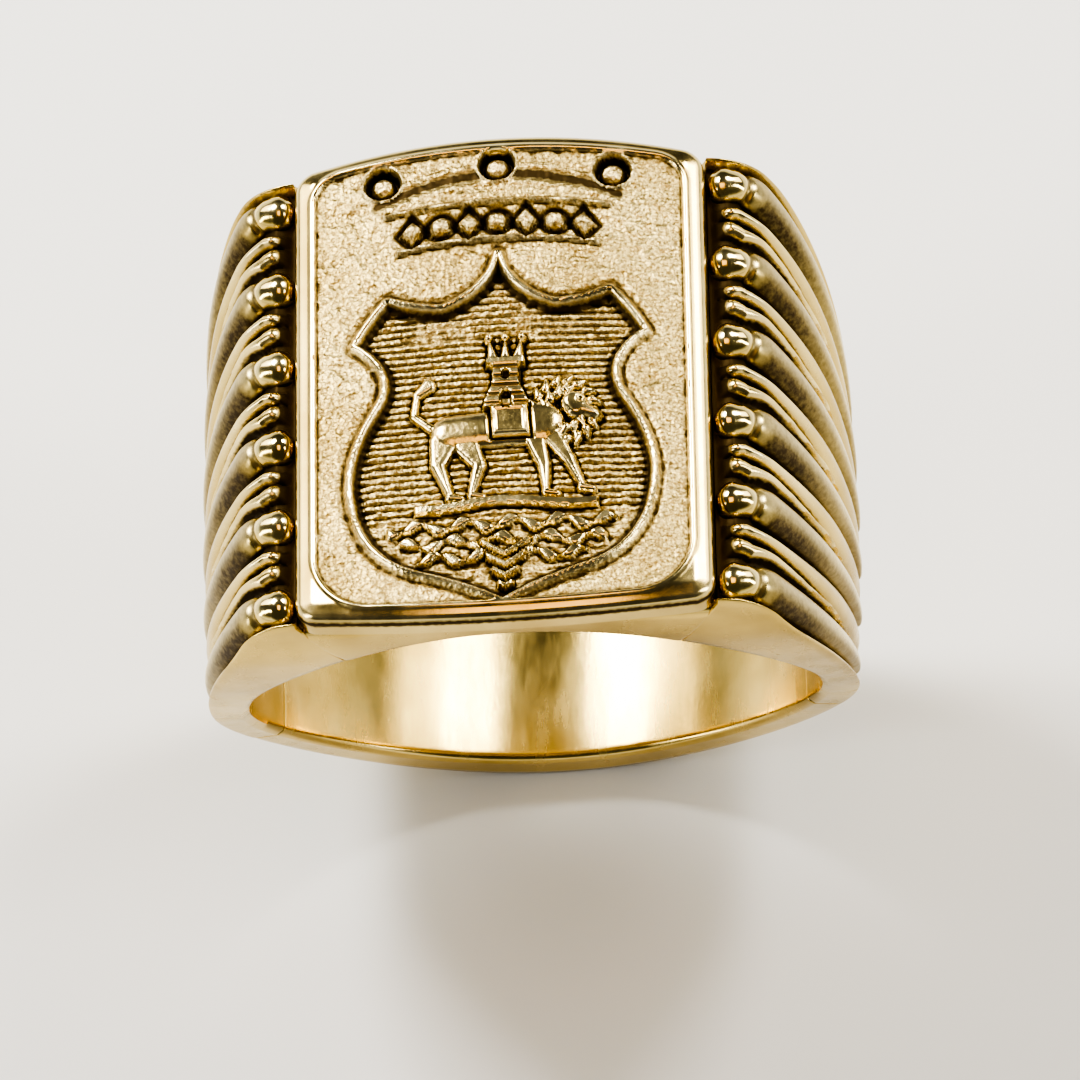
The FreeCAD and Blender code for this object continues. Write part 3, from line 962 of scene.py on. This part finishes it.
class Nodes:
    """A short way to write a material's node tree."""

    def __init__(self, name):
        self.material = bpy.data.materials.new(name)
        self.material.use_nodes = True
        self.tree = self.material.node_tree
        self.shader = self.tree.nodes["Principled BSDF"]

    def add(self, kind, inputs=(), **settings):
        """A new node, with values or other nodes' outputs put into its inputs."""
        node = self.tree.nodes.new(kind)
        for key, value in settings.items():
            setattr(node, key, value)
        for key, value in dict(inputs).items():
            self.put(node.inputs[key], value)
        return node

    def put(self, socket, value):
        if isinstance(value, bpy.types.NodeSocket):
            self.tree.links.new(value, socket)
        else:
            socket.default_value = value

    def attribute(self, name):
        return self.add("ShaderNodeAttribute", attribute_name=name).outputs["Fac"]

    def noise(self, scale, detail=3.0, rough=0.5, stretch=(1, 1, 1)):
        place = self.add("ShaderNodeTexCoord").outputs["Object"]
        if stretch != (1, 1, 1):
            place = self.add("ShaderNodeMapping", {"Vector": place, "Scale": stretch}).outputs[0]
        return self.add("ShaderNodeTexNoise", {
            "Vector": place, "Scale": scale, "Detail": detail, "Roughness": rough}).outputs["Fac"]

    def maths(self, operation, a, b):
        return self.add("ShaderNodeMath", {0: a, 1: b}, operation=operation).outputs[0]

    def fit(self, value, low, high, to_low, to_high):
        """The value, with the range from low to high spread over another range."""
        return self.add("ShaderNodeMapRange", {
            "Value": value, "From Min": low, "From Max": high,
            "To Min": to_low, "To Max": to_high}).outputs["Result"]

    def blend(self, factor, a, b):
        node = self.add("ShaderNodeMix", data_type="RGBA")
        self.put(node.inputs[0], factor)
        self.put(node.inputs[6], a)
        self.put(node.inputs[7], b)
        return node.outputs[2]

    def source(self, name):
        """What a socket of the shader is fed by."""
        return self.shader.inputs[name].links[0].from_socket

    def bump(self, height, strength, distance, normal=None):
        inputs = {"Height": height, "Strength": strength, "Distance": distance}
        if normal is not None:
            inputs["Normal"] = normal
        return self.add("ShaderNodeBump", inputs).outputs["Normal"]


GOLD_LIGHT = (0.72, 0.54, 0.19, 1)
GOLD_DEEP = (0.44, 0.31, 0.085, 1)
# Pale gold for the ridges: rubbed wear with a painted highlight
GOLD_WORN_AND_HIGHLIGHT = (0.98, 0.82, 0.42, 1)
REED_LIGHT = (0.86, 0.67, 0.25, 1)
REED_DEEP = (0.62, 0.45, 0.13, 1)
PLATE_LIGHT = (0.74, 0.58, 0.24, 1)
PLATE_DEEP = (0.52, 0.38, 0.13, 1)
# Near-black brown for the cavities: patina in the hollows and painted shade
PATINA_AND_SHADE = (0.050, 0.032, 0.012, 1)
PIT_STAIN = (0.16, 0.10, 0.03, 1)
EVEN = (1.0, 1.0, 1.0)
ALONG_FINGER = (1.0, 0.25, 1.0)     # stretches grain along the finger

# Scales of the noises, which have about this many features in a metre
CLOUD_SCALE = 260.0
GRAIN_SCALE = 900.0
SPECK_SCALE = 5200.0
PIT_SCALE = 6500.0
FINE_SCALE = 9000.0


def gold(name, light, deep, rough, grain_stretch, scratch, patina_shade_range, ragged=0.2):
    """Worn yellow gold: varied tone, scratches, ridges lightened by rubbed wear with a painted
    highlight, and cavities darkened by patina and painted shade.

    The range after scratch holds the cavity values between which patina and painted shade set
    in, and ragged is how much their edge wanders.
    """
    n = Nodes(name)
    cavity = n.attribute("cavity")
    cloud = n.noise(CLOUD_SCALE, 4.0)
    speck = n.noise(SPECK_SCALE, 3.0, 0.6)
    grain = n.noise(GRAIN_SCALE, 5.0, 0.65, grain_stretch)
    tone = n.blend(n.fit(cloud, 0.32, 0.68, 0.0, 1.0), light, deep)
    # Ridges are lightened towards a pale gold: rubbed wear with a painted highlight.
    rubbed_and_highlit = n.maths("MULTIPLY", n.attribute("ridge"), n.fit(grain, 0.3, 0.7, 0.35, 0.9))
    tone = n.blend(rubbed_and_highlit, tone, GOLD_WORN_AND_HIGHLIGHT)
    # Cavities are darkened towards near-black brown: patina in the hollows and painted shade.
    darkening = n.maths("ADD", cavity, n.fit(speck, 0.2, 0.8, -ragged, ragged))
    patina_and_shade = n.fit(darkening, *patina_shade_range, 0.0, 1.0)
    worn = n.maths("ADD", n.fit(grain, 0.3, 0.7, rough - 0.05, rough + 0.10),
                   n.maths("MULTIPLY", patina_and_shade, 0.35))
    scratches = n.bump(grain, scratch, 0.00002)
    n.put(n.shader.inputs["Base Color"], n.blend(patina_and_shade, tone, PATINA_AND_SHADE))
    n.put(n.shader.inputs["Metallic"], 1.0)
    n.put(n.shader.inputs["Roughness"], worn)
    n.put(n.shader.inputs["Normal"], n.bump(speck, scratch * 0.6, 0.00001, scratches))
    return n


def band_gold():
    """Softly brushed band, with grain drawn out along the finger."""
    return gold("band_gold", GOLD_LIGHT, GOLD_DEEP, rough=0.22, grain_stretch=ALONG_FINGER,
                scratch=0.35, patina_shade_range=(0.22, 0.72)).material


def reed_gold():
    """Bright reeds, worn smooth by use."""
    return gold("reed_gold", REED_LIGHT, REED_DEEP, rough=0.12, grain_stretch=EVEN,
                scratch=0.12, patina_shade_range=(0.26, 0.92), ragged=0.09).material


def plate_gold():
    """Polished border and charge, with a stippled and hatched ground between them."""
    n = gold("plate_gold", PLATE_LIGHT, PLATE_DEEP, rough=0.17, grain_stretch=EVEN,
             scratch=0.2, patina_shade_range=(0.22, 0.75))
    textured = n.attribute("textured")
    duller = n.maths("ADD", n.source("Roughness"), n.maths("MULTIPLY", textured, 0.16))
    n.put(n.shader.inputs["Roughness"], duller)
    place = n.add("ShaderNodeTexCoord").outputs["Object"]
    pits = n.add("ShaderNodeTexVoronoi", {"Vector": place, "Scale": PIT_SCALE})
    fine = n.noise(FINE_SCALE, 4.0, 0.6)
    matte = n.maths("MULTIPLY", n.maths("ADD", pits.outputs["Distance"], fine), textured)
    pitted = n.maths("MULTIPLY", n.fit(fine, 0.40, 0.58, 0.75, 0.0), textured)
    n.put(n.shader.inputs["Base Color"], n.blend(pitted, n.source("Base Color"), PIT_STAIN))
    n.put(n.shader.inputs["Normal"], n.bump(matte, 0.55, 0.00006, n.source("Normal")))
    return n.material


# ---------------------------------------------------------------- the pieces

def claim(piece, node):
    """The piece rides on the ring's one body and takes the place of a node."""
    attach(piece, "root")
    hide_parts(node)


def build_ring():
    """All the pieces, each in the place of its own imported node."""
    band, bright, top = band_gold(), reed_gold(), plate_gold()
    claim(signet_plate("plate", top), "signet_plate")
    claim(head("head", band), "head_block")
    claim(shank("shank_band", band), "shank")
    for side, mirror in (("left", True), ("right", False)):
        claim(shoulder(side + "_ribbed_shoulder", band, mirror), side + "_shoulder")
        for i, row in enumerate(REED_ROWS):
            node = "%s_reed_%d" % (side, i + 1)
            claim(reed("%s_ball_reed_%d" % (side, i + 1), row, bright, mirror), node)


# ---------------------------------------------------------------- floor, light and camera

FLOOR_HALF = 0.45
FLOOR_COLOUR = (0.76, 0.75, 0.71, 1)


def floor_stage():
    """A plain pale floor under the shank."""
    z = CAD_BOX[0][2]
    mesh = bpy.data.meshes.new("floor")
    corners = [(FLOOR_HALF * i, FLOOR_HALF * j, z) for i, j in ((-1, -1), (1, -1), (1, 1), (-1, 1))]
    mesh.from_pydata(corners, [], [(0, 1, 2, 3)])
    floor = bpy.data.objects.new("floor", mesh)
    bpy.context.scene.collection.objects.link(floor)
    n = Nodes("pale_floor")
    n.put(n.shader.inputs["Base Color"], FLOOR_COLOUR)
    n.put(n.shader.inputs["Roughness"], n.fit(n.noise(60.0), 0.3, 0.7, 0.55, 0.7))
    mesh.materials.append(n.material)


ROOM_COLOUR = (0.90, 0.91, 0.92, 1)
HORIZON, HORIZON_Z = 1.2, 0.05      # strength of the room's light, and how high it holds
CEILING, CEILING_Z = 0.07, 0.34

WHITE = (1, 1, 1)
CREAM = (1.0, 0.93, 0.80)
AMBER = (1.0, 0.62, 0.26)
# Soft boxes that face the ring: place, size, power in watts and colour
LIGHTS = {
    "key_box": ((-0.17, 0.17, 0.27), (0.12, 0.10), 1.4, WHITE),
    "back_box": ((0.17, 0.18, 0.26), (0.09, 0.09), 0.7, WHITE),
    "left_strip": ((-0.30, -0.10, 0.13), (0.05, 0.22), 0.42, WHITE),
    "right_strip": ((0.30, -0.04, 0.17), (0.05, 0.22), 0.5, WHITE),
    "left_fill": ((-0.24, 0.18, 0.19), (0.14, 0.14), 0.22, CREAM),
    "right_fill": ((0.24, 0.18, 0.19), (0.14, 0.14), 0.22, CREAM),
    "warm_box": ((0.0, -0.05, 0.34), (0.16, 0.14), 0.20, AMBER),
}


def room():
    """A room with pale walls and a dim ceiling."""
    world = bpy.data.worlds.new("studio")
    bpy.context.scene.world = world
    world.use_nodes = True
    tree = world.node_tree
    place = tree.nodes.new("ShaderNodeTexCoord")
    split = tree.nodes.new("ShaderNodeSeparateXYZ")
    fade = tree.nodes.new("ShaderNodeMapRange")
    fade.interpolation_type = "SMOOTHSTEP"
    for name, value in (("From Min", HORIZON_Z), ("From Max", CEILING_Z),
                        ("To Min", HORIZON), ("To Max", CEILING)):
        fade.inputs[name].default_value = value
    background = tree.nodes["Background"]
    background.inputs["Color"].default_value = ROOM_COLOUR
    tree.links.new(place.outputs["Generated"], split.inputs[0])
    tree.links.new(split.outputs["Z"], fade.inputs["Value"])
    tree.links.new(fade.outputs["Result"], background.inputs["Strength"])


def soft_box(name, place, size, power, colour):
    """A rectangular light that faces the ring's centre."""
    lamp = bpy.data.lights.new(name, "AREA")
    lamp.shape = "RECTANGLE"
    lamp.size, lamp.size_y = size
    lamp.energy = power
    lamp.color = colour
    box = bpy.data.objects.new(name, lamp)
    box.location = place
    box.rotation_euler = (-Vector(place)).to_track_quat("-Z", "Y").to_euler()
    bpy.context.scene.collection.objects.link(box)


def studio():
    """Soft boxes round the ring, in a pale room."""
    room()
    bpy.context.scene.view_settings.look = "AgX - High Contrast"
    for name, settings in LIGHTS.items():
        soft_box(name, *settings)


# The camera's pose: how far it looks down, leans towards +X about the finger, turns about
# the upright axis and rolls about its own view
PITCH = math.radians(59.7)
LEAN = math.radians(4.35)
TURN = math.radians(-1.1)
ROLL = math.radians(2.2)
AIM = Vector((0.0003, 0.0, 0.0008))
DISTANCE = 0.334
LENS = 320
SENSOR_WIDTH = 36


def camera():
    """A long lens, high in front of the ring and turned a little from square."""
    view = (Matrix.Rotation(LEAN, 4, "Y") @ Matrix.Rotation(-TURN, 4, "Z")
            @ Matrix.Rotation(math.pi / 2 - PITCH, 4, "X") @ Matrix.Rotation(-ROLL, 4, "Z"))
    data = bpy.data.cameras.new("camera")
    data.lens = LENS
    data.sensor_width = SENSOR_WIDTH
    data.clip_start = 0.01
    eye = bpy.data.objects.new("camera", data)
    eye.matrix_world = Matrix.Translation(AIM + view.col[2].to_3d() * DISTANCE) @ view
    bpy.context.scene.collection.objects.link(eye)
    bpy.context.scene.camera = eye


build_ring()
floor_stage()
studio()
camera()
